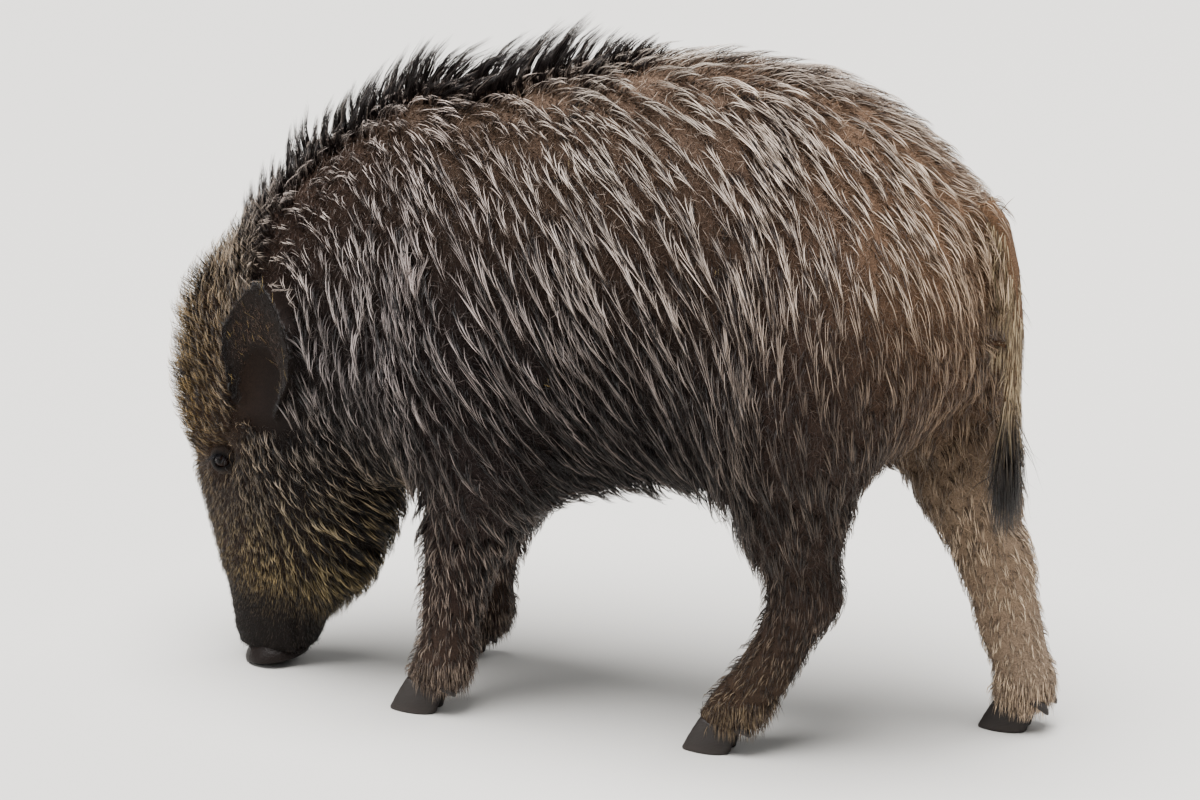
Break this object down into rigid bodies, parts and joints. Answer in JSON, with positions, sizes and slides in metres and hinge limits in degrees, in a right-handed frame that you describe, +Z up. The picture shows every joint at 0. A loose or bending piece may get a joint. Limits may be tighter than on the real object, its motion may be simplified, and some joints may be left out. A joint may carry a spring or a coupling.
{
  "type": "wild boar",
  "caption": "Life-size wild boar in a dark winter coat, standing with its head lowered and its snout on the ground.",
  "frame": {"origin": "centre of the outline on the floor, under the belly", "axes": "+Z up, -X towards the head, -Y towards the animal's left side"},
  "size_m": [1.086, 0.41, 0.8327],
  "materials": {
    "coat": "wet winter fur",
    "face": "short grizzled fur",
    "leg": "short dull fur",
    "mane": "stiff black-brown bristles",
    "ear": "thin haired skin",
    "snout": "bare moist skin",
    "horn": "dull dark horn",
    "eye": "wet and clear"
  },
  "bodies": {
    "root": {"barrel": "coat", "dewclaw_fore_left_inner": "horn", "dewclaw_fore_left_outer": "horn", "dewclaw_fore_right_inner": "horn", "dewclaw_fore_right_outer": "horn", "dewclaw_hind_left_inner": "horn", "dewclaw_hind_left_outer": "horn", "dewclaw_hind_right_inner": "horn", "dewclaw_hind_right_outer": "horn", "ear_left": "ear", "ear_right": "ear", "eye_left": "eye", "eye_right": "eye", "forefoot_left": "leg", "forefoot_right": "leg", "foreleg_left": "leg", "foreleg_right": "leg", "forequarters": "coat", "head": "face", "hindfoot_left": "leg", "hindfoot_right": "leg", "hindleg_left": "leg", "hindleg_right": "leg", "hindquarters": "coat", "hoof_fore_left_inner": "horn", "hoof_fore_left_outer": "horn", "hoof_fore_right_inner": "horn", "hoof_fore_right_outer": "horn", "hoof_hind_left_inner": "horn", "hoof_hind_left_outer": "horn", "hoof_hind_right_inner": "horn", "hoof_hind_right_outer": "horn", "lower_jaw": "face", "mane": "mane", "muzzle": "face", "neck": "coat", "snout_disc": "snout", "tail": "coat"}
  },
  "joints": []
}
